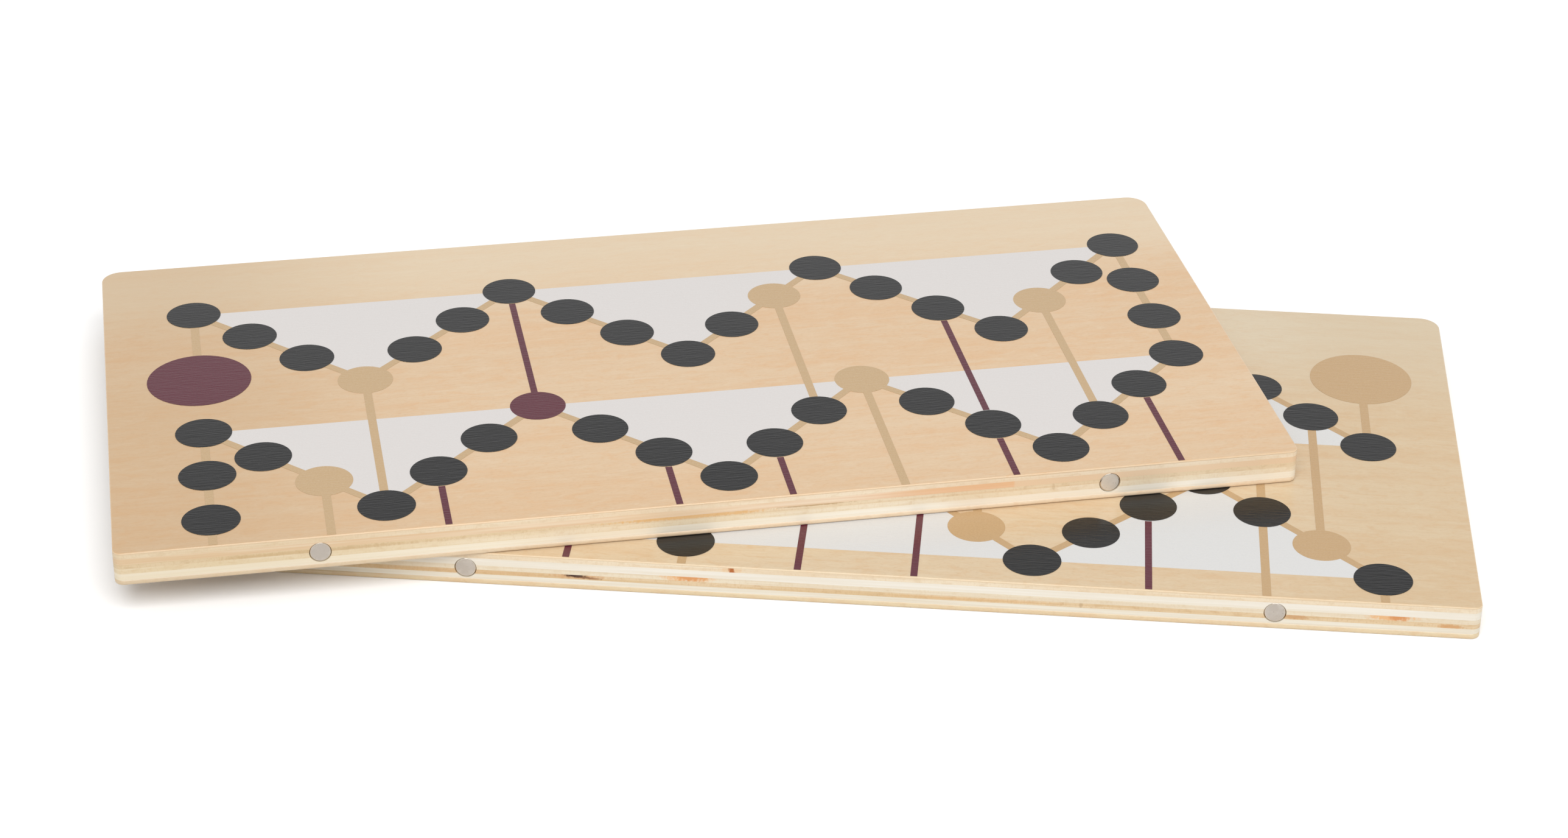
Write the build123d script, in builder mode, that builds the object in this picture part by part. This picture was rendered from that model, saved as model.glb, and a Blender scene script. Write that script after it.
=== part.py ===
from build123d import *
import os
from math import cos, radians, sin

# Two plywood halves of a square game board, stacked crosswise as they lie in the photograph.
# Millimetres. X runs along the lower half's long side, Y to the back, Z up.
# The origin is the middle of the lower half's underside, which is what the board rests on.

# One half of the board
board_length = 330.0
board_width = 165.0
outer_corner_radius = 6.0
seam_corner_radius = 2.5
arris_width = 0.4

# Plies from the printed face down to the back. Each half is cut from its own sheet.
upper_plies = {
    "face_veneer": 0.5,
    "crossband_upper": 1.3,
    "longband_upper": 1.8,
    "core": 1.3,
    "crossband_lower": 1.6,
    "longband_lower": 2.0,
    "back_veneer": 1.5,
}
lower_plies = {
    "face_veneer": 0.5,
    "crossband_upper": 1.3,
    "longband_upper": 2.2,
    "core": 1.4,
    "crossband_lower": 1.4,
    "longband_lower": 1.5,
    "back_veneer": 1.7,
}

# Disc magnets, glued into blind bores in the seam edge
magnet_diameter = 6.0
magnet_length = 4.0
magnet_rim_chamfer = 0.3
magnet_end_distance = 55.0
magnet_recess = 0.1
bore_clearance = 0.05
glue_gap = 0.1

# How the upper half lies on the lower one: its centre and its turn about Z
upper_shift_x = -63.3
upper_shift_y = 14.3
upper_turn = 15.58

# Printed track. The inks are films laid one over the other, the pale ones first.
ink_order = ("white", "tan", "purple", "black")
film_thickness = 0.03
dot_diameter = 16.0
big_dot_diameter = 30.0
big_dot_distance = 40.5
tan_line_width = 2.4
purple_line_width = 1.9
purple_line_gap = 0.3
column_pitch = 15.82
zigzag_step = 16.0
row_pitch = 71.5
upper_first_row = 61.0
lower_first_row = 11.8

# The two halves are printed one by one, so their first columns don't quite line up.
upper_end_margin = 26.7
lower_end_margin = 25.9

# The panels' tips stop under the dots at the peaks, so that two panels never touch.
panel_tip_width = 8.0
panel_tip_height = 10.0

# A row zigzags over this many columns, and its troughs and peaks are this many columns apart.
column_count = 19
columns_per_leg = 3

upper_thickness = sum(upper_plies.values())
lower_thickness = sum(lower_plies.values())
print_thickness = film_thickness * len(ink_order)
last_column = column_count - 1

turn = radians(upper_turn)
lower_plane = Plane.XY
upper_plane = Plane(
    origin=(upper_shift_x, upper_shift_y, lower_thickness + print_thickness),
    x_dir=(cos(turn), sin(turn), 0),
    z_dir=(0, 0, 1),
)


# The board is read with the upper half above the seam and the lower half below it.
# A place in the track is a column and a row's height over the seam, in this reading frame.
def column_x(column):
    """Distance of a column from the first one, which is on the left."""
    return column_pitch * column


def zigzag_depth(column):
    """How far the track hangs below its row line at a column."""
    step = column % (2 * columns_per_leg)
    return zigzag_step * min(step, 2 * columns_per_leg - step)


def on_row(row_height, column):
    """Centre of a row's dot at a column."""
    return (column_x(column), row_height - zigzag_depth(column))


upper_far_row = upper_first_row + row_pitch
upper_near_row = upper_first_row
lower_near_row = -lower_first_row
lower_far_row = -lower_first_row - row_pitch
seam = 0.0


def climb(column, bottom, top):
    """The two ends of an upright line in one column."""
    return ((column_x(column), bottom), (column_x(column), top))


# Columns whose dot isn't black, row by row
upper_tan_dots = [on_row(upper_far_row, c) for c in (3, 11, 16)]
upper_tan_dots += [on_row(upper_near_row, c) for c in (2, 12)]
upper_purple_dots = [on_row(upper_near_row, 6)]
lower_tan_dots = [on_row(lower_near_row, c) for c in (1, 7)]
lower_purple_dots = [on_row(lower_near_row, c) for c in (8, 14, 17)]
lower_purple_dots += [on_row(lower_far_row, c) for c in (4, 10)]


def link_heights(top, bottom, gaps):
    """Heights of the dots strictly between two rows that an upright stretch joins."""
    return [top + (bottom - top) * step / gaps for step in range(1, gaps)]


# Each row ends in an upright stretch to the next one: right, left over the seam, then right.
side_gaps = 3
upper_side_dots = [(column_x(last_column), y) for y in link_heights(upper_far_row, upper_near_row, side_gaps)]
upper_side_dots += [(column_x(0), upper_near_row - row_pitch * step / side_gaps) for step in (1, 2)]
lower_side_dots = [(column_x(last_column), y) for y in link_heights(lower_near_row, lower_far_row, side_gaps)]

# Big dots: the goal hangs under the last dot of the top row, the start under the first of the bottom row.
goal_dot = (column_x(0), upper_far_row - big_dot_distance)
start_dot = (column_x(0), lower_far_row - big_dot_distance)

# Upright tan lines: the track's own side stretches and the ladders up to a tan dot
upper_tan_lines = [
    climb(0, goal_dot[1], upper_far_row),
    climb(0, seam, upper_near_row),
    climb(last_column, upper_near_row, upper_far_row),
    climb(2, seam, on_row(upper_near_row, 2)[1]),
    climb(3, on_row(upper_near_row, 3)[1], on_row(upper_far_row, 3)[1]),
    climb(11, on_row(upper_near_row, 11)[1], on_row(upper_far_row, 11)[1]),
    climb(12, seam, on_row(upper_near_row, 12)[1]),
    climb(16, on_row(upper_near_row, 16)[1], on_row(upper_far_row, 16)[1]),
]
lower_tan_lines = [
    climb(0, start_dot[1], lower_far_row),
    climb(0, lower_near_row, seam),
    climb(last_column, lower_far_row, lower_near_row),
    climb(1, on_row(lower_far_row, 1)[1], on_row(lower_near_row, 1)[1]),
    climb(2, on_row(lower_far_row, 2)[1], seam),
    climb(7, on_row(lower_far_row, 7)[1], on_row(lower_near_row, 7)[1]),
    climb(12, on_row(lower_near_row, 12)[1], seam),
]

# Upright purple lines: the slides down to a purple dot
upper_purple_lines = [
    climb(4, seam, on_row(upper_near_row, 4)[1]),
    climb(6, on_row(upper_near_row, 6)[1], on_row(upper_far_row, 6)[1]),
    climb(8, seam, on_row(upper_near_row, 8)[1]),
    climb(10, seam, on_row(upper_near_row, 10)[1]),
    climb(14, seam, on_row(upper_far_row, 14)[1]),
    climb(17, seam, on_row(upper_near_row, 17)[1]),
]
lower_purple_lines = [
    climb(4, on_row(lower_far_row, 4)[1], seam),
    climb(8, on_row(lower_near_row, 8)[1], seam),
    climb(10, on_row(lower_far_row, 10)[1], seam),
    climb(14, on_row(lower_near_row, 14)[1], seam),
    climb(17, on_row(lower_near_row, 17)[1], seam),
]


with BuildSketch() as board_outline:
    Rectangle(board_length, board_width)
    fillet(board_outline.vertices().group_by(Axis.Y)[-1], outer_corner_radius)
    fillet(board_outline.vertices().group_by(Axis.Y)[0], seam_corner_radius)

with BuildSketch() as printable_area:
    Rectangle(board_length - 2 * arris_width, board_width - 2 * arris_width)


def export(piece, label):
    """Label a finished piece and write its file."""
    piece.part.label = label
    export_step(piece.part, f"parts/{label}.step")


def seam_edge(plane, height):
    """Plane on the seam edge at a height over the back, facing out of the board."""
    middle = plane.from_local_coords((0, -board_width / 2, height))
    return Plane(origin=middle, x_dir=plane.x_dir, z_dir=-plane.y_dir)


def magnet_places():
    """Places of the two magnets along the seam edge, from its middle."""
    return [(-board_length / 2 + magnet_end_distance, 0), (board_length / 2 - magnet_end_distance, 0)]


def make_plies(half, plane, plies, thickness):
    """Stack the plies of one half, each with the part of the magnet bores that it holds."""
    bore_plane = seam_edge(plane, thickness / 2)
    bore_depth = magnet_recess + magnet_length + glue_gap
    top = thickness
    for name, ply_thickness in plies.items():
        with BuildPart() as ply:
            with BuildSketch(plane.offset(top - ply_thickness)):
                add(board_outline.sketch)
            extrude(amount=ply_thickness)
            if name == "face_veneer":
                chamfer(ply.faces().sort_by(Axis.Z)[-1].edges(), arris_width)
            if name == "back_veneer":
                chamfer(ply.faces().sort_by(Axis.Z)[0].edges(), arris_width)
            with BuildSketch(bore_plane):
                with Locations(*magnet_places()):
                    Circle(magnet_diameter / 2 + bore_clearance)
            extrude(amount=-bore_depth, mode=Mode.SUBTRACT)
        export(ply, f"{half}_{name}")
        top -= ply_thickness


def make_magnets(half, plane, thickness):
    """The two disc magnets of one half, with the broken rim that plated discs have."""
    face = seam_edge(plane, thickness / 2).offset(-magnet_recess)
    for side, place in zip(("left", "right"), magnet_places()):
        with BuildPart() as magnet:
            with BuildSketch(face):
                with Locations(place):
                    Circle(magnet_diameter / 2)
            extrude(amount=-magnet_length)
            chamfer(magnet.edges().filter_by(GeomType.CIRCLE), magnet_rim_chamfer)
        export(magnet, f"{half}_magnet_{side}")


def zigzag_points(row_height):
    """Turning points of a row, from its first dot to its last."""
    return [on_row(row_height, c) for c in range(0, column_count, columns_per_leg)]


def panel_corners(row_height):
    """The triangles between a row's straight line and the zigzag under it."""
    points = zigzag_points(row_height)
    return [points[start : start + 3] for start in range(0, len(points) - 2, 2)]


def draw_lines(lines, width):
    """Draw straight lines of one width in the active sketch."""
    for line in lines:
        with BuildLine() as path:
            Polyline(*line)
        trace(path.edges(), line_width=width)


def draw_dots(places, diameter):
    """Draw dots of one size in the active sketch."""
    if places:
        with Locations(*places):
            Circle(diameter / 2)


def print_plans(rows, side_dots, tan_dots, purple_dots, big_tan, big_purple, tan_lines, purple_lines):
    """The four inks of one half in the reading frame. Tan lines run on under the dots, purple ones stop short."""
    dots = [on_row(row, c) for row in rows for c in range(column_count)] + side_dots
    black_dots = [dot for dot in dots if dot not in tan_dots + purple_dots]
    with BuildSketch() as black:
        draw_dots(black_dots, dot_diameter)
    with BuildSketch() as purple:
        draw_lines(purple_lines, purple_line_width)
        with Locations(*black_dots):
            Circle(dot_diameter / 2 + purple_line_gap, mode=Mode.SUBTRACT)
        draw_dots(purple_dots, dot_diameter)
        draw_dots(big_purple, big_dot_diameter)
    with BuildSketch() as tan:
        draw_lines(tan_lines + [zigzag_points(row) for row in rows], tan_line_width)
        draw_dots(tan_dots, dot_diameter)
        draw_dots(big_tan, big_dot_diameter)
    with BuildSketch() as white:
        for row in rows:
            for corners in panel_corners(row):
                Polygon(*corners, align=None)
            with Locations(*zigzag_points(row)[::2]):
                Rectangle(panel_tip_width, panel_tip_height, mode=Mode.SUBTRACT)
    return {"white": white.sketch, "tan": tan.sketch, "purple": purple.sketch, "black": black.sketch}


def make_print(half, plane, thickness, to_half, plans):
    """Lay the inks on the face veneer, film over film, and short of its broken edge."""
    for level, colour in enumerate(ink_order):
        with BuildPart() as ink:
            with BuildSketch(plane.offset(thickness + level * film_thickness)):
                add(to_half * plans[colour])
                add(printable_area.sketch, mode=Mode.INTERSECT)
            extrude(amount=film_thickness)
        export(ink, f"{half}_print_{colour}")


# From the reading frame to a half's own frame, whose seam edge is at -Y
to_upper_half = Location((upper_end_margin - board_length / 2, -board_width / 2, 0))
to_lower_half = Location((board_length / 2 - lower_end_margin, -board_width / 2, 0), (0, 0, 180))

os.makedirs("parts", exist_ok=True)

make_plies("lower", lower_plane, lower_plies, lower_thickness)
make_magnets("lower", lower_plane, lower_thickness)
lower_plans = print_plans(
    rows=(lower_near_row, lower_far_row),
    side_dots=lower_side_dots,
    tan_dots=lower_tan_dots,
    purple_dots=lower_purple_dots,
    big_tan=[start_dot],
    big_purple=[],
    tan_lines=lower_tan_lines,
    purple_lines=lower_purple_lines,
)
make_print("lower", lower_plane, lower_thickness, to_lower_half, lower_plans)

make_plies("upper", upper_plane, upper_plies, upper_thickness)
make_magnets("upper", upper_plane, upper_thickness)
upper_plans = print_plans(
    rows=(upper_far_row, upper_near_row),
    side_dots=upper_side_dots,
    tan_dots=upper_tan_dots,
    purple_dots=upper_purple_dots,
    big_tan=[],
    big_purple=[goal_dot],
    tan_lines=upper_tan_lines,
    purple_lines=upper_purple_lines,
)
make_print("upper", upper_plane, upper_thickness, to_upper_half, upper_plans)
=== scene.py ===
# %% [markdown]
# # A wooden game board in two magnetic halves
# Two plywood half boards lie crosswise on a white ground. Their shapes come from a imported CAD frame, with
# one object for each ply, ink and magnet. Plain solids of one colour each would already show the shapes.
# This lesson adds what the eye goes by: veneer grain, ply edges, printing ink, nickel plate and light.

# %% Load the frame
from math import cos, pi, radians, sin

import bmesh
import bpy
from mathutils import Matrix, Vector


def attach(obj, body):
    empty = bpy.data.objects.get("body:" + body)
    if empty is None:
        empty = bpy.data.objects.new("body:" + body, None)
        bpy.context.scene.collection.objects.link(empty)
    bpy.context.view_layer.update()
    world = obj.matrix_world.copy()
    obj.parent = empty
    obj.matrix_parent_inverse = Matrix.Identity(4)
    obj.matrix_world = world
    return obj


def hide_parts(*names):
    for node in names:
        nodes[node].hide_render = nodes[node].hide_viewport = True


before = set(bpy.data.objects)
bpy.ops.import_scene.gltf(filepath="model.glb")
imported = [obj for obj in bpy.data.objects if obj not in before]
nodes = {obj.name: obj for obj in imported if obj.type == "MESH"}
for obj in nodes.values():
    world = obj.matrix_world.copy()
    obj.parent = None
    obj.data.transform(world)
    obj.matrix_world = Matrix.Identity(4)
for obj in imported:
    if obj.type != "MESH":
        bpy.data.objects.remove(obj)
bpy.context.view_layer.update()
MM = 0.001
print("pieces in the frame:", len(nodes))

# %% [markdown]
# ## Colours and nodes
# Colours are noted as the sRGB hex values that a screen shows. Blender mixes light in linear values, so one
# function turns the one into the other. A material could be wired by hand in the shader editor. In code, one
# small function adds a node, sets its values and joins it up, so that a material reads like a recipe.

# %% Colours
def linear(hex_colour):
    """Linear RGBA of an sRGB hex colour."""
    parts = [int(hex_colour[i : i + 2], 16) / 255 for i in (1, 3, 5)]
    light = [c / 12.92 if c <= 0.04045 else ((c + 0.055) / 1.055) ** 2.4 for c in parts]
    return (*light, 1.0)


print("middle grey in linear light:", round(linear("#808080")[0], 3))

# %% Nodes
def add_node(tree, kind, settings=None, links=None):
    """Add a node. A setting or link is named by a property, or by the name or number of an input."""
    node = tree.nodes.new(kind)
    for name, value in (settings or {}).items():
        if isinstance(name, str) and hasattr(node, name):
            setattr(node, name, value)
        else:
            node.inputs[name].default_value = value
    for name, source in (links or {}).items():
        tree.links.new(source, node.inputs[name])
    return node


def new_material(name):
    """A material with an empty node tree."""
    material = bpy.data.materials.new(name)
    material.use_nodes = True
    material.node_tree.nodes.clear()
    return material


def finish_material(tree, colour, heights, relief, depth, settings, sunk=False):
    """Close a material: a relief from a pattern, the shader with its own values, and the output."""
    bumps = {"Strength": relief, "Distance": depth, "invert": sunk}
    bump = add_node(tree, "ShaderNodeBump", bumps, {"Height": heights}).outputs[0]
    links = {"Base Color": colour, "Normal": bump}
    shader = add_node(tree, "ShaderNodeBsdfPrincipled", settings, links)
    add_node(tree, "ShaderNodeOutputMaterial", None, {"Surface": shader.outputs[0]})


# %% [markdown]
# ## Where each half lies
# The grain belongs to the board, not to the table. A pattern could be laid in the table's frame, but then it
# would slide through the upper half when that is lifted or turned. So each half has its own frame: x along
# the long side, y from the seam edge to the back edge, z up from its back, all in millimetres.

# %% Places of the halves
HALF_LENGTH = 330 * MM
HALF_WIDTH = 165 * MM
THICKNESS = 10 * MM
PRINT_THICKNESS = 0.12 * MM
SEAM_EDGE = -HALF_WIDTH / 2
UPPER_SHIFT = Vector((-63.3 * MM, 14.3 * MM, THICKNESS + PRINT_THICKNESS))
UPPER_TURN = radians(15.58)
PLACES = {
    "lower": (Vector((0, 0, 0)), 0.0),
    "upper": (UPPER_SHIFT, UPPER_TURN),
}


def half_matrix(half):
    """From a half's own frame to the row frame."""
    shift, turn = PLACES[half]
    return Matrix.Translation(shift) @ Matrix.Rotation(turn, 4, "Z")


def half_place(tree, half):
    """Socket with the point's place in its half's own frame, in millimetres."""
    shift, turn = PLACES[half]
    here = add_node(tree, "ShaderNodeTexCoord").outputs["Object"]
    settings = {"Location": shift, "Rotation": (0, 0, turn), "Scale": (MM, MM, MM)}
    settings["vector_type"] = "TEXTURE"
    return add_node(tree, "ShaderNodeMapping", settings, {"Vector": here}).outputs[0]


print("upper half's middle in millimetres:", [round(c / MM, 2) for c in UPPER_SHIFT])

# %% [markdown]
# ## Patterns and coats of colour
# Wood, ink and plated metal are uneven in one manner: soft blotches of a second and a third colour over the
# first, each kind with its own size. An image could show them, but it would stretch over edges and repeat.
# A noise that fills space has neither fault. It is drawn out to the real size of the blotches, and a coat of
# colour goes wherever it is high, or wherever it is low.

# %% Patterns
def grain_noise(tree, place, size, detail, roughness, distortion, offset=(0, 0, 0)):
    """Socket with a noise whose blotches measure size, in millimetres along x, y and z."""
    settings = {"vector_type": "TEXTURE", "Location": offset, "Scale": size}
    drawn_out = add_node(tree, "ShaderNodeMapping", settings, {"Vector": place}).outputs[0]
    settings = {"Scale": 1.0, "Detail": detail, "Roughness": roughness, "Distortion": distortion}
    return add_node(tree, "ShaderNodeTexNoise", settings, {"Vector": drawn_out}).outputs[0]


# %% Coats of colour
# Inputs and output of a Mix node that mixes colours
SHARE, UNDER, OVER, MIXED = 0, 6, 7, 2


def tint(tree, colour, mask, low, high, over, strength, blend="MIX"):
    """Lay a colour over another, a socket or a hex value, where a mask goes from low to high."""
    settings = {"From Min": low, "From Max": high, "To Min": 0.0, "To Max": strength}
    settings["interpolation_type"] = "SMOOTHSTEP"
    share = add_node(tree, "ShaderNodeMapRange", settings, {"Value": mask}).outputs[0]
    settings = {"data_type": "RGBA", "blend_type": blend, OVER: linear(over)}
    links = {SHARE: share}
    if isinstance(colour, str):
        settings[UNDER] = linear(colour)
    else:
        links[UNDER] = colour
    return add_node(tree, "ShaderNodeMix", settings, links).outputs[MIXED]


def coats(tree, place, colour, patterns, layers, colours, offset=(0, 0, 0)):
    """Tint a colour by noises, coat over coat. Returns the colour, and the noises by name."""
    noises = {name: grain_noise(tree, place, *shape, offset) for name, shape in patterns.items()}
    for pattern, low, high, over, strength in layers:
        colour = tint(tree, colour, noises[pattern], low, high, colours[over], strength)
    return colour, noises


# %% [markdown]
# ## Face veneer
# The faces are rotary-cut basswood veneer under a thin coat of satin lacquer. The grain is calm: wide soft
# bands in cream and pale orange along the board, a cloudy mottle, and fine fibres. One noise with many
# octaves would look like smoke, because wood has its own sizes. So the figure is made of six noises from
# wide to fine, each near its real size. The lacquer mirrors the white backdrop at a low angle.

# %% Grain of the veneer
# Satin lacquer: reflections with a soft outline
LACQUERED = {"Roughness": 0.2, "IOR": 1.5}
FIBRE_DEPTH = 0.02 * MM
# Pattern: size of its blotches along, across and through the board in millimetres, and the noise's detail,
# roughness and distortion. Real fibres are under 0.1 mm wide. They are drawn coarser, so that they show.
VENEER_TONE = ((260, 60, 60), 1, 0.5, 0.4)
VENEER_PATTERNS = {
    "bands": ((190, 11, 14), 2, 0.55, 0.9),
    "streaks": ((75, 2.6, 6), 4, 0.6, 0.7),
    "mottle": ((6.5, 2.4, 3), 3, 0.65, 0.6),
    "flames": ((24, 0.9, 3), 2, 0.5, 1.2),
    "fibres": ((9, 0.35, 2), 3, 0.6, 0.0),
    "flecks": ((1.3, 0.45, 1), 2, 0.5, 0.0),
}
# Coat: its pattern, where in the pattern it starts and is full, its colour and its strength
VENEER_COATS = [
    ("bands", 0.42, 0.70, "orange", 0.30),
    ("streaks", 0.50, 0.74, "orange", 0.26),
    ("streaks", 0.46, 0.28, "pale", 0.30),
    ("mottle", 0.47, 0.70, "orange", 0.38),
    ("mottle", 0.47, 0.28, "pale", 0.38),
    ("flames", 0.55, 0.74, "brown", 0.07),
    ("fibres", 0.48, 0.76, "brown", 0.09),
    ("flecks", 0.50, 0.74, "brown", 0.13),
]
print("coats of colour in the veneer:", len(VENEER_COATS))

# %% Veneer material
def veneer_material(name, half, base, pale, orange, brown, offset, tone_and_painted_light):
    """Lacquered veneer with its grain along the board, and slow drifts of tone and painted light."""
    material = new_material(name)
    tree = material.node_tree
    place = half_place(tree, half)
    tone = grain_noise(tree, place, *VENEER_TONE, offset)
    settings = {"data_type": "RGBA", UNDER: linear(base), OVER: linear(pale)}
    colour = add_node(tree, "ShaderNodeMix", settings, {SHARE: tone}).outputs[MIXED]
    colours = {"pale": pale, "orange": orange, "brown": brown}
    colour, noises = coats(tree, place, colour, VENEER_PATTERNS, VENEER_COATS, colours, offset)
    spot = add_node(tree, "ShaderNodeSeparateXYZ", None, {0: place})
    for axis, low, high, over, strength in tone_and_painted_light:
        colour = tint(tree, colour, spot.outputs[axis], low, high, over, strength)
    finish_material(tree, colour, noises["fibres"], 0.10, FIBRE_DEPTH, LACQUERED)
    return material


# %% [markdown]
# ## Four veneers
# No two sheets of veneer are alike. The upper face is warm and browner to its left, the lower face is cooler.
# Both faces are painted paler towards the back edge: a painted reflection of the sky in the lacquer. The
# backs are bare, and the upper back is painted darker towards its left end: a painted shade. One material for
# all would look stamped, so each sheet has its own colours, its own cut through the noise, and slow drifts of
# tone and painted light along its length or width. A pale band along the top arris of each face is a painted
# highlight.

# %% Veneer colours
# Drift: axis, where it starts and is full in millimetres, colour and strength
# Painted highlight: a pale band down the rounded top arris of each face, where the edge would catch the light
PAINTED_ARRIS_HIGHLIGHT = ("Z", 9.97, 9.78, "#e4d0b0", 0.4)
UPPER_TONE_AND_PAINTED_LIGHT = [
    # Painted reflection: paler towards the back edge, as if the lacquer mirrored more sky there
    ("Y", 30, 66, "#dccdb2", 0.55),
    ("X", -60, -150, "#ab885b", 0.34),
    PAINTED_ARRIS_HIGHLIGHT,
]
LOWER_TONE_AND_PAINTED_LIGHT = [
    # Painted reflection: paler towards the back edge, as if the lacquer mirrored more sky there
    ("Y", 10, 70, "#d2c8b2", 0.5),
    ("X", 100, 140, "#c4a880", 0.25),
    PAINTED_ARRIS_HIGHLIGHT,
]
# Painted shade: the upper back ply darker and browner towards its left end
UPPER_BACK_PAINTED_SHADE = [("X", 60, -150, "#a08c6c", 0.45)]

# Warm cream with a soft orange figure, under a satin sheen
upper_face = veneer_material(
    "basswood_face_veneer_upper", "upper",
    "#d4b28b", "#ddc5a6", "#d8ac7e", "#b28659", (31, 7, 0), UPPER_TONE_AND_PAINTED_LIGHT,
)
# The same wood from another sheet: greyer, with less orange in it
lower_face = veneer_material(
    "basswood_face_veneer_lower", "lower",
    "#d0b48f", "#dbc9ab", "#d0aa7e", "#a8855c", (-57, 23, 0), LOWER_TONE_AND_PAINTED_LIGHT,
)
# Pale outermost ply, seen as the lowest stripe of the upper half's edge, with painted shade towards its left
# end
upper_back = veneer_material(
    "basswood_back_veneer_upper", "upper",
    "#e0c7a6", "#e6d2b6", "#dab68f", "#b98c60", (77, -31, 5), UPPER_BACK_PAINTED_SHADE,
)
# Straw-coloured outermost ply, on which the whole board stands
lower_back = veneer_material(
    "basswood_back_veneer_lower", "lower",
    "#cfba95", "#d8c8a9", "#cfac84", "#b98c60", (12, 55, 9), [],
)
print("veneers:", [sheet.name for sheet in (upper_face, lower_face, upper_back, lower_back)])

# %% [markdown]
# ## Marks in the seam edges
# The sawn edges carry small accidents of the wood: a dark streak, patches stained orange, a drop of resin,
# a tick. They could be painted on an image, but the edge would need its own unwrapped map. Here each mark is
# an ellipsoid at its place in the ply, measured in millimetres. The distance from its middle fades the stain
# out, and a fine upright noise frays its outline along the cut fibres.

# %% Places of the marks
# Ply, place along the edge, height, half length and half height in millimetres, colour and strength
EDGE_MARKS = {
    "lower": [
        ("crossband_lower", -79.0, 4.2, 10.0, 1.2, "#c49162", 0.6),
        ("crossband_lower", -79.8, 4.4, 4.0, 0.9, "#3c1c0c", 1.0),
        ("crossband_lower", -77.0, 3.9, 3.0, 0.5, "#6b4326", 0.8),
        ("crossband_lower", -74.6, 3.7, 3.0, 0.5, "#8a5c34", 0.6),
        ("core", -49.2, 6.2, 9.0, 2.6, "#dca468", 0.85),
        ("core", -48.2, 5.9, 5.4, 1.8, "#c87c3c", 0.6),
        ("crossband_upper", -37.0, 8.6, 3.6, 2.4, "#dfae78", 0.4),
        ("crossband_upper", -36.9, 8.3, 1.2, 4.5, "#a8560c", 0.95),
        ("crossband_lower", 30.0, 3.9, 30.0, 0.7, "#d2a36c", 0.35),
        ("crossband_lower", -110.0, 3.9, 36.0, 0.8, "#c79c6c", 0.4),
        ("crossband_lower", 57.9, 4.0, 0.7, 1.6, "#a98a66", 0.5),
        ("crossband_lower", 115.8, 4.1, 5.4, 1.0, "#b98450", 0.6),
        ("core", 141.2, 6.2, 8.6, 2.4, "#dca468", 0.8),
        ("core", 143.0, 5.9, 3.6, 1.8, "#c47634", 0.65),
        ("crossband_lower", 156.6, 3.7, 4.6, 1.0, "#c48a4e", 0.65),
    ],
    "upper": [
        ("core", -8.0, 6.0, 30.0, 0.8, "#dda65c", 0.6),
        ("core", 25.0, 6.3, 14.0, 0.45, "#a98250", 0.6),
        ("core", -110.0, 5.6, 40.0, 0.8, "#b99a6c", 0.5),
        ("crossband_lower", 93.7, 5.2, 0.6, 1.2, "#b89a70", 0.3),
        ("core", 93.7, 5.6, 0.6, 1.2, "#b89a70", 0.3),
    ],
}
MARK_DEPTH = 4.0
# The noise of the fringe, with its size in millimetres, and how far into a mark it starts and is full
FRINGE = ((0.6, 1.0, 1.1), 3, 0.5, 0.0)
MARK_STARTS, MARK_FULL = -0.45, 0.1
print("marks in the seam edges:", sum(len(marks) for marks in EDGE_MARKS.values()))

# %% Stains
def add_marks(tree, place, half, ply, colour):
    """Stain the seam edge of one ply."""
    for marked, along, height, half_length, half_height, stain, strength in EDGE_MARKS[half]:
        if marked != ply:
            continue
        settings = {"Location": (along, SEAM_EDGE / MM, height)}
        settings["Scale"] = (half_length, MARK_DEPTH, half_height)
        settings["vector_type"] = "TEXTURE"
        near = add_node(tree, "ShaderNodeMapping", settings, {"Vector": place}).outputs[0]
        away = add_node(tree, "ShaderNodeVectorMath", {"operation": "LENGTH"}, {0: near})
        frayed = grain_noise(tree, place, *FRINGE)
        links = {0: frayed, 1: away.outputs["Value"]}
        reach = add_node(tree, "ShaderNodeMath", {"operation": "SUBTRACT"}, links).outputs[0]
        colour = tint(tree, colour, reach, MARK_STARTS, MARK_FULL, stain, strength)
    return colour


# %% [markdown]
# ## Ply edges
# On the seam edge, a ply whose grain runs across the board shows its cut fibre ends: darker, matt, with fine
# upright rays. A ply whose grain runs along shows long grain: pale, with faint level streaks. Flat stripes
# of colour would miss that. The noises are drawn out along the fibres through the whole solid, and the edge
# cuts them, so a ply turns by itself from end grain to long grain at the board's corners.

# %% Grain of the plies
# Wood sanded but not lacquered: a dull sheen
SANDED = {"Roughness": 0.55, "IOR": 1.5}
RAY_DEPTH = 0.05 * MM
# Patterns and coats as for the veneer. Real rays are finer, and are drawn as coarse as they need to show.
END_GRAIN = {
    "tone": ((45, 45, 0.9), 2, 0.5, 0.3),
    "rays": ((0.45, 60, 0.9), 4, 0.6, 0.2),
    "groups": ((2.7, 60, 1.2), 2, 0.5, 0.4),
}
LONG_GRAIN = {
    "tone": ((45, 45, 0.9), 2, 0.5, 0.3),
    "rays": ((60, 0.5, 0.45), 4, 0.6, 0.2),
    "groups": ((90, 0.5, 1.2), 2, 0.5, 0.4),
}
PLY_COATS = [
    ("tone", 0.40, 0.64, "light", 0.8),
    ("rays", 0.48, 0.72, "dark", 0.30),
    ("groups", 0.50, 0.74, "dark", 0.35),
]
# The upper half's orange ply starts past its middle and ends at a splice
SPLICED_PLY = "plywood_edge_upper_longband_upper"
SPLICE_DRIFTS = [(30, 62, "#e6ac78", 0.55), (82.0, 82.8, "#e5caa9", 0.9)]
# Painted shade: the upper half's plies are darkened and greyed towards the left end
PAINTED_SHADE_TO_LEFT = (60, -150, "#e8e3d8", 1.0, "MULTIPLY")
print("sizes of the upright rays in millimetres:", END_GRAIN["rays"][0])

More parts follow.
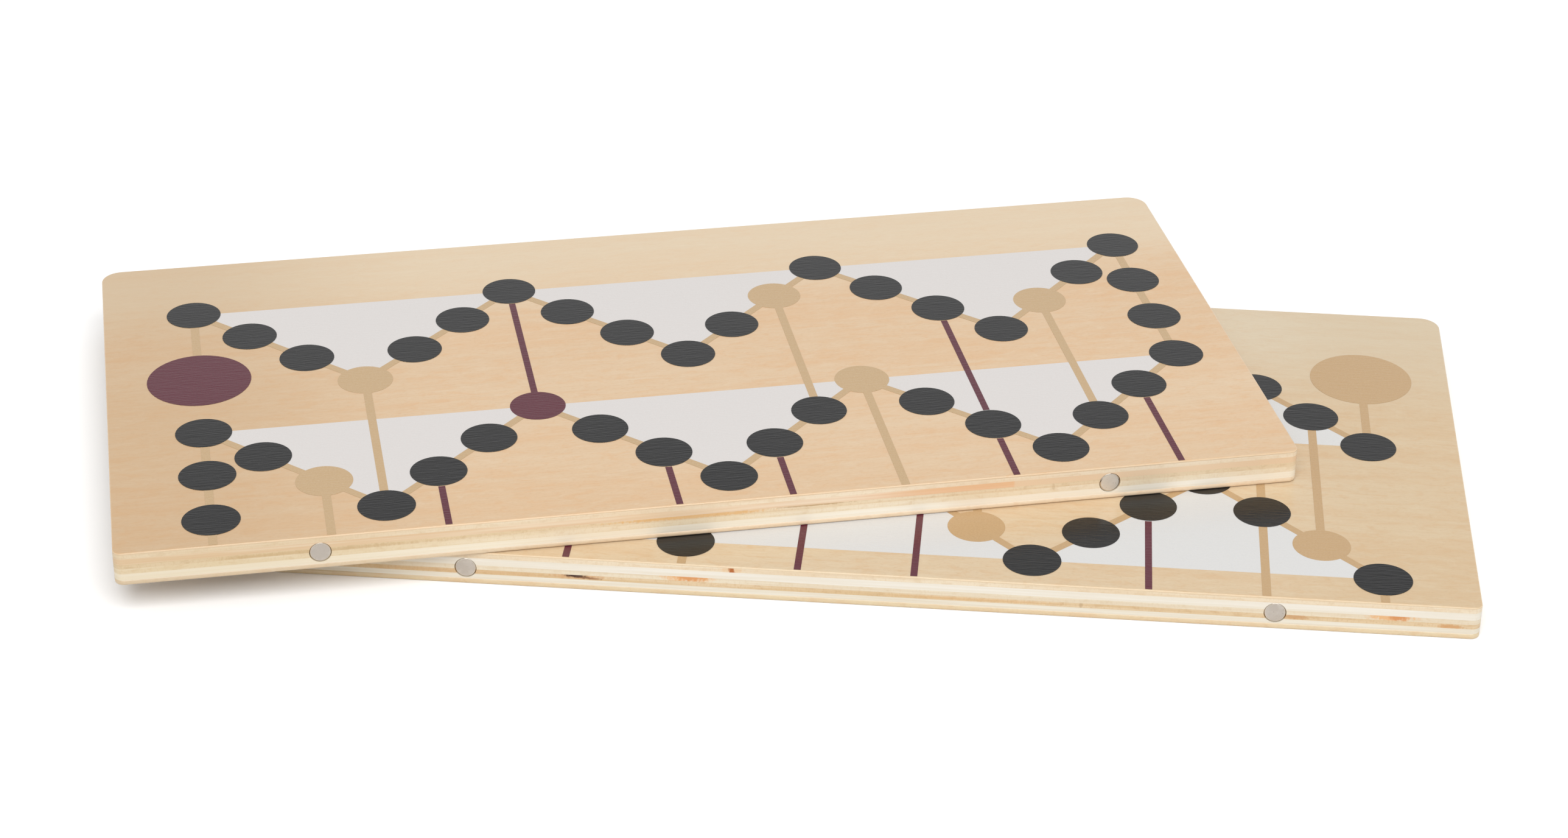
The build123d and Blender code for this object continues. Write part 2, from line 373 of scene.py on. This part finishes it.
# %% Ply material
def ply_material(half, ply, grain_along, base, light, dark, offset):
    """Sanded ply edge, with end grain or long grain as the fibres run."""
    material = new_material("plywood_edge_" + half + "_" + ply)
    tree = material.node_tree
    place = half_place(tree, half)
    patterns = LONG_GRAIN if grain_along else END_GRAIN
    colours = {"light": light, "dark": dark}
    colour, noises = coats(tree, place, base, patterns, PLY_COATS, colours, offset)
    along = add_node(tree, "ShaderNodeSeparateXYZ", None, {0: place}).outputs["X"]
    if material.name == SPLICED_PLY:
        for drift in SPLICE_DRIFTS:
            colour = tint(tree, colour, along, *drift)
    # Painted shade along the upper half's edge, darker towards its left end
    if half == "upper":
        colour = tint(tree, colour, along, *PAINTED_SHADE_TO_LEFT)
    colour = add_marks(tree, place, half, ply, colour)
    relief = 0.2 if grain_along else 0.5
    finish_material(tree, colour, noises["rays"], relief, RAY_DEPTH, SANDED)
    return material


# %% Ply colours
# Ply, whether its grain runs along the board, and its base, light and dark colours. Cross plies give the
# eye honey-coloured stripes, and long plies the pale ones between them.
PLY_LOOKS = {
    "upper": [
        ("crossband_upper", False, "#e8d4b8", "#eddec6", "#d8bf9b"),
        ("longband_upper", True, "#e5caa9", "#ecd8bf", "#dab18b"),
        ("core", False, "#e2cba8", "#e8d6ba", "#c8aa80"),
        ("crossband_lower", False, "#e9d8ba", "#eddec6", "#dabf98"),
        ("longband_lower", True, "#f2e8d5", "#f4ecdd", "#eadbc0"),
    ],
    "lower": [
        ("crossband_upper", False, "#dbc6a8", "#e2d3ba", "#ccb08a"),
        ("longband_upper", True, "#dfd7c8", "#e4ded3", "#d6c9b0"),
        ("core", False, "#d8c8ae", "#dfd3bc", "#ccb590"),
        ("crossband_lower", False, "#cfb38a", "#d8c19f", "#b99366"),
        ("longband_lower", True, "#dbd2c0", "#e0dacc", "#d0bfa2"),
    ],
}


def dress(node_name, material):
    """Give a CAD object one material in place of its own."""
    slots = nodes[node_name].data.materials
    slots.clear()
    slots.append(material)


for half, looks in PLY_LOOKS.items():
    for number, (ply, *look) in enumerate(looks):
        dress(half + "_" + ply, ply_material(half, ply, *look, (9 * number, 4, number)))
    print(half, "plies with a grain of their own:", len(looks))

# %% [markdown]
# ## Veneers with a rubbed-down edge
# The CAD breaks the outer arris with a small chamfer. On the real board it is sanded round, which draws a
# thin line of light along every edge. A bevel modifier on a box would do it, but the CAD mesh has to stay as
# it is. So the outer veneers are made again: the outline of the board is repeated ring over ring, each ring
# a little further in along a quarter circle, and each ring is joined to the next.

# %% Joining rings
def join_rings(name, rings, materials, side_material=0):
    """A closed piece from rings of points, smooth from ring to ring, with a flat face at both ends."""
    mesh = bmesh.new()
    rings = [[mesh.verts.new(point) for point in ring] for ring in rings]
    for ring, following in zip(rings, rings[1:]):
        for i in range(len(ring)):
            j = (i + 1) % len(ring)
            side = mesh.faces.new((ring[i], ring[j], following[j], following[i]))
            side.smooth = True
            side.material_index = side_material
    mesh.faces.new(rings[-1])
    mesh.faces.new(rings[0][::-1])
    bmesh.ops.recalc_face_normals(mesh, faces=mesh.faces)
    data = bpy.data.meshes.new(name)
    mesh.to_mesh(data)
    mesh.free()
    for material in materials:
        data.materials.append(material)
    piece = bpy.data.objects.new(name, data)
    bpy.context.scene.collection.objects.link(piece)
    return piece


# %% Board outline
OUTER_CORNER = 6.0 * MM
SEAM_CORNER = 2.5 * MM
CORNER_STEPS = 10


def board_ring(inset):
    """Points of the board's outline, moved in by inset, in the half's own frame."""
    x, y = HALF_LENGTH / 2, HALF_WIDTH / 2
    corners = [
        (x, -y, SEAM_CORNER, -90),
        (x, y, OUTER_CORNER, 0),
        (-x, y, OUTER_CORNER, 90),
        (-x, -y, SEAM_CORNER, 180),
    ]
    points = []
    for corner_x, corner_y, radius, start in corners:
        centre_x = corner_x - radius if corner_x > 0 else corner_x + radius
        centre_y = corner_y - radius if corner_y > 0 else corner_y + radius
        reach = radius - inset
        for step in range(CORNER_STEPS + 1):
            angle = radians(start + 90 * step / CORNER_STEPS)
            points.append((centre_x + reach * cos(angle), centre_y + reach * sin(angle)))
    return points


print("points in the board's outline:", len(board_ring(0)))

# %% Sanded veneers
ARRIS = 0.4 * MM
ARRIS_STEPS = 5


def make_veneer(name, half, low, high, round_top, material):
    """An outer veneer with its outer edge rubbed round."""
    profile = [(0.0, low if round_top else high)]
    for step in range(ARRIS_STEPS + 1):
        angle = pi / 2 * step / ARRIS_STEPS
        drop = ARRIS * (1 - sin(angle))
        profile.append((ARRIS * (1 - cos(angle)), high - drop if round_top else low + drop))
    to_row = half_matrix(half)
    rings = [
        [to_row @ Vector((x, y, height)) for x, y in board_ring(inset)] for inset, height in profile
    ]
    return join_rings(name, rings, [material])


# Half, ply, its lowest and highest level, whether its top edge is the sanded one, and its material
VENEERS = [
    ("lower", "face_veneer", 9.5 * MM, 10.0 * MM, True, lower_face),
    ("lower", "back_veneer", 0.0, 1.7 * MM, False, lower_back),
    ("upper", "face_veneer", 9.5 * MM, 10.0 * MM, True, upper_face),
    ("upper", "back_veneer", 0.0, 1.5 * MM, False, upper_back),
]
for half, ply, low, high, round_top, material in VENEERS:
    piece = make_veneer(half + "_" + ply + "_sanded", half, low, high, round_top, material)
    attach(piece, half + "_half")
    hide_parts(half + "_" + ply)
    print(piece.name, "faces:", len(piece.data.polygons))

# %% [markdown]
# ## Printed inks
# The track is screen printed on the veneer and lacquered over. Each ink lies a few hundredths of a millimetre
# thick, so it could be a mere change of colour in the veneer. The CAD films have the right outline and a real
# edge, so they stay and get the ink. Ink follows the wood under it, which leaves a faint relief of fibres.

# %% Ink material
# Clouds and specks of the ink itself, and the veneer's fibres under it, drawn coarse enough to show
INK_PATTERNS = {
    "clouds": ((0.5, 0.3, 0.5), 2, 0.6, 0.0),
    "specks": ((0.6, 0.35, 1), 0, 0.5, 0.0),
    "fibres": ((7, 0.5, 2), 2, 0.5, 0.0),
}
INK_RELIEF = 1.0
INK_DEPTH = 0.06 * MM
INK_OFFSET = (3, 5, 0)


def ink_material(half, ink, base, cloud, speck, speck_strength):
    """Screen ink over veneer, under the same lacquer."""
    material = new_material("screen_ink_" + ink + "_" + half)
    tree = material.node_tree
    place = half_place(tree, half)
    layers = [
        ("clouds", 0.35, 0.75, "cloud", 0.7),
        ("specks", 0.80, 0.86, "speck", speck_strength),
    ]
    colours = {"cloud": cloud, "speck": speck}
    colour, noises = coats(tree, place, base, INK_PATTERNS, layers, colours, INK_OFFSET)
    finish_material(tree, colour, noises["fibres"], INK_RELIEF, INK_DEPTH, LACQUERED)
    return material


# %% Ink colours
# Half, ink, its colour, a second colour in soft clouds, and the colour and strength of small specks.
# White looks like chalk against the wood, tan like milky coffee, purple like wine, and black like slate.
INKS = [
    ("upper", "white", "#d3cecb", "#d8d4d1", "#beb8b3", 0.4),
    ("upper", "tan", "#bd9f77", "#c7ac86", "#a5855a", 0.3),
    ("upper", "purple", "#561a2a", "#612636", "#7d4a55", 0.3),
    ("upper", "black", "#111112", "#161617", "#6a6662", 0.3),
    ("lower", "white", "#d3d2d0", "#d8d7d5", "#beb8b3", 0.4),
    ("lower", "tan", "#bb9a70", "#c4a67d", "#a5855a", 0.3),
    ("lower", "purple", "#591d2c", "#642838", "#7d4a55", 0.3),
    ("lower", "black", "#0f0f10", "#141415", "#6a6662", 0.3),
]
for half, ink, *look in INKS:
    dress(half + "_print_" + ink, ink_material(half, ink, *look))
print("inks:", len(INKS))

# %% [markdown]
# ## Nickel plate
# The magnets are neodymium discs, tumbled and nickel plated. A mirror-bright metal would be wrong for the
# face: tumbling leaves it a little matt and cloudy with small pits, and only the rim is rubbed bright. So
# the face and the rim get one recipe with two roughnesses. The lower half's frame is the table's own, and
# one plate laid out in it serves all the discs. A nearly white copy of the face plate paints one disc
# brighter:
# a painted reflection.

# %% Nickel material
# Smears as wide as half a disc, and pits that are drawn coarse enough to show
NICKEL_PATTERNS = {
    "smears": ((3.2, 3.2, 2.4), 2, 0.5, 0.0),
    "pits": ((0.35, 0.35, 0.35), 2, 0.6, 0.0),
}
NICKEL_COATS = [
    ("smears", 0.42, 0.68, "cloud", 0.8),
    ("pits", 0.66, 0.74, "pit", 0.8),
]
PIT_DEPTH = 0.03 * MM


def nickel_material(name, base, cloud, pit, roughness, relief):
    """Nickel plate: a warm grey metal, cloudy where it was tumbled, with small pits."""
    material = new_material(name)
    tree = material.node_tree
    place = half_place(tree, "lower")
    colours = {"cloud": cloud, "pit": pit}
    colour, noises = coats(tree, place, base, NICKEL_PATTERNS, NICKEL_COATS, colours)
    settings = {"Metallic": 1.0, "Roughness": roughness}
    finish_material(tree, colour, noises["pits"], relief, PIT_DEPTH, settings, sunk=True)
    return material


# Matt faces in a warm grey
nickel_face = nickel_material("nickel_plate_tumbled", "#c6beb5", "#cfc8c0", "#8d847b", 0.6, 0.3)
# Painted reflection: a nearly white copy of the face plate paints the upper half's right magnet brighter than
# the others
nickel_painted_bright = nickel_material("nickel_plate_painted_bright", "#efe9e0", "#f5f0e8", "#a49b90", 0.6, 0.3)
# Rims that flash where they turn to the light
nickel_rim = nickel_material("nickel_plate_bright_rim", "#c9bfb2", "#d6cdc2", "#8f8578", 0.12, 0.05)
print("nickel plates:", [plate.name for plate in (nickel_face, nickel_painted_bright, nickel_rim)])

# %% [markdown]
# ## Disc magnets
# Each magnet sits in a blind bore, a hair below the seam edge, and shows as a round face with a soft rim. A
# plain cylinder has a sharp rim that catches no light. So each disc is turned like a piece on a lathe: a
# flat face, a quarter-round rim and a straight side, as rings of points around its axis.

# %% Turned discs
MAGNET_RADIUS = 3.0 * MM
MAGNET_LENGTH = 4.0 * MM
MAGNET_RIM = 0.45 * MM
MAGNET_RECESS = 0.1 * MM
RIM_STEPS = 6
TURN_STEPS = 72
RIM_MATERIAL = 1


def make_magnet(name, half, along, face):
    """A disc magnet let into the seam edge, its axis square to the edge."""
    profile = []
    for step in range(RIM_STEPS + 1):
        angle = pi / 2 * step / RIM_STEPS
        radius = MAGNET_RADIUS - MAGNET_RIM + MAGNET_RIM * sin(angle)
        profile.append((radius, MAGNET_RIM * (1 - cos(angle))))
    profile += [(radius, MAGNET_LENGTH - depth) for radius, depth in reversed(profile)]
    to_row = half_matrix(half)
    turns = [2 * pi * step / TURN_STEPS for step in range(TURN_STEPS)]
    rings = []
    for radius, depth in profile:
        y = SEAM_EDGE + MAGNET_RECESS + depth
        ring = [(along + radius * cos(turn), y, THICKNESS / 2 + radius * sin(turn)) for turn in turns]
        rings.append([to_row @ Vector(point) for point in ring])
    return join_rings(name, rings, [face, nickel_rim], RIM_MATERIAL)


# %% Four magnets
MAGNET_FROM_MIDDLE = 110 * MM
for half in PLACES:
    for side, along in (("left", -MAGNET_FROM_MIDDLE), ("right", MAGNET_FROM_MIDDLE)):
        name = half + "_magnet_" + side
        # The upper half's right magnet gets the painted bright plate, a painted reflection
        face = nickel_painted_bright if name == "upper_magnet_right" else nickel_face
        piece = make_magnet(name + "_plated", half, along, face)
        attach(piece, half + "_half")
        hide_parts(name)
        print(piece.name, "faces:", len(piece.data.polygons))

# %% [markdown]
# ## Floor
# The photograph has a white ground with no edge to be seen. A curved studio sweep would do, but from other
# sides its bend would show. A wide flat sheet of matt white paper has no end within the view, and it takes
# the soft shadow of the board.

# %% White paper floor
FLOOR_SIZE = 8.0
FLOOR_WHITE = (0.93, 0.93, 0.93, 1.0)
floor_mesh = bmesh.new()
corners = [(-1, -1), (1, -1), (1, 1), (-1, 1)]
floor_mesh.faces.new(
    [floor_mesh.verts.new((x * FLOOR_SIZE / 2, y * FLOOR_SIZE / 2, 0)) for x, y in corners]
)
floor_data = bpy.data.meshes.new("floor")
floor_mesh.to_mesh(floor_data)
floor_mesh.free()
floor = bpy.data.objects.new("floor", floor_data)
bpy.context.scene.collection.objects.link(floor)
# Matt paper: white without any shine
paper = new_material("matt_white_paper")
settings = {"Color": FLOOR_WHITE, "Roughness": 0.5}
shader = add_node(paper.node_tree, "ShaderNodeBsdfDiffuse", settings)
add_node(paper.node_tree, "ShaderNodeOutputMaterial", None, {"Surface": shader.outputs[0]})
floor_data.materials.append(paper)
print("floor in metres:", FLOOR_SIZE)

# %% [markdown]
# ## Sky
# A studio lights the board from all sides with soft daylight. One white sky could do everything, but a sky
# that is bright enough to look white would wash out the wood. So the sky has three strengths: full white
# where the camera looks at it, softer as a light, and for reflections a backdrop that is white low down
# under a dimmer room, as the ink shows by what it mirrors.

# %% World
DAYLIGHT = 0.68
SEEN_WHITE = 1.0
BACKDROP_WHITE, ROOM_GREY = 0.95, 0.42
# Sines of 25 and 35 degrees above the horizon, between which the backdrop gives way to the room
BACKDROP_TOP, ROOM_STARTS = 0.42, 0.58
# Inputs of a Mix node that mixes numbers
FIRST, SECOND = 2, 3

world = bpy.data.worlds.new("white_studio")
bpy.context.scene.world = world
world.use_nodes = True
tree = world.node_tree
tree.nodes.clear()
rays = add_node(tree, "ShaderNodeLightPath").outputs
links = {0: rays["Is Camera Ray"], 1: rays["Is Transmission Ray"]}
direct = add_node(tree, "ShaderNodeMath", {"operation": "MAXIMUM"}, links).outputs[0]
direction = add_node(tree, "ShaderNodeTexCoord").outputs["Generated"]
height = add_node(tree, "ShaderNodeSeparateXYZ", None, {0: direction}).outputs["Z"]
settings = {"From Min": BACKDROP_TOP, "From Max": ROOM_STARTS}
settings.update({"To Min": BACKDROP_WHITE, "To Max": ROOM_GREY})
mirrored = add_node(tree, "ShaderNodeMapRange", settings, {"Value": height}).outputs[0]
settings = {"data_type": "FLOAT", FIRST: DAYLIGHT}
links = {SHARE: rays["Is Glossy Ray"], SECOND: mirrored}
lit = add_node(tree, "ShaderNodeMix", settings, links).outputs[0]
settings = {"data_type": "FLOAT", SECOND: SEEN_WHITE}
strength = add_node(tree, "ShaderNodeMix", settings, {SHARE: direct, FIRST: lit}).outputs[0]
sky = add_node(tree, "ShaderNodeBackground", {"Color": (1, 1, 1, 1)}, {"Strength": strength})
add_node(tree, "ShaderNodeOutputWorld", None, {"Surface": sky.outputs[0]})
print("daylight strength:", DAYLIGHT)

# %% [markdown]
# ## Lamp
# Daylight from all sides leaves a board flat. In the photograph the upper half throws no hard shadow on the
# lower one, so the light was large. A sun or a spot would cut a sharp shadow. One big soft box, high above
# and in front, lights the seam edges and keeps every shadow soft.

# %% Soft box
LAMP_WIDTH, LAMP_HEIGHT = 2.4, 1.8
LAMP_POWER = 57
LAMP_PLACE = (0.25, -1.75, 2.3)
lamp_data = bpy.data.lights.new("soft_box", "AREA")
lamp_data.shape = "RECTANGLE"
lamp_data.size = LAMP_WIDTH
lamp_data.size_y = LAMP_HEIGHT
lamp_data.energy = LAMP_POWER
lamp = bpy.data.objects.new("soft_box", lamp_data)
lamp.location = LAMP_PLACE
lamp.rotation_euler = (Vector((0, 0, 0)) - lamp.location).to_track_quat("-Z", "Y").to_euler()
bpy.context.scene.collection.objects.link(lamp)
print("lamp above the table in metres:", LAMP_PLACE[2])

# %% [markdown]
# ## Camera
# The camera stands where the photograph was taken. Its place and lens could be tried out by eye, but small
# errors would bend the rows of dots. They were solved beforehand from the round dots and the straight edges:
# heading, look down, roll, focal length and place.

# %% Camera
LOOK_DOWN = radians(29.771)
HEADING = radians(-4.692)
ROLL = radians(0.6695)
CAMERA_PLACE = Vector((0.04258, -0.88282, 0.51638))
SENSOR_WIDTH = 36.0
FOCAL_LENGTH = 80.377
forward = Vector((sin(HEADING) * cos(LOOK_DOWN), cos(HEADING) * cos(LOOK_DOWN), -sin(LOOK_DOWN)))
level_right = Vector((cos(HEADING), -sin(HEADING), 0))
level_up = level_right.cross(forward)
right = cos(ROLL) * level_right + sin(ROLL) * level_up
up = cos(ROLL) * level_up - sin(ROLL) * level_right
camera_data = bpy.data.cameras.new("camera")
camera_data.sensor_width = SENSOR_WIDTH
camera_data.lens = FOCAL_LENGTH
camera = bpy.data.objects.new("camera", camera_data)
axes = Matrix((right, up, -forward)).transposed().to_4x4()
camera.matrix_world = Matrix.Translation(CAMERA_PLACE) @ axes
bpy.context.scene.collection.objects.link(camera)
bpy.context.scene.camera = camera
bpy.context.scene.view_settings.view_transform = "Standard"
print("camera to the board in metres:", round(CAMERA_PLACE.length, 3))
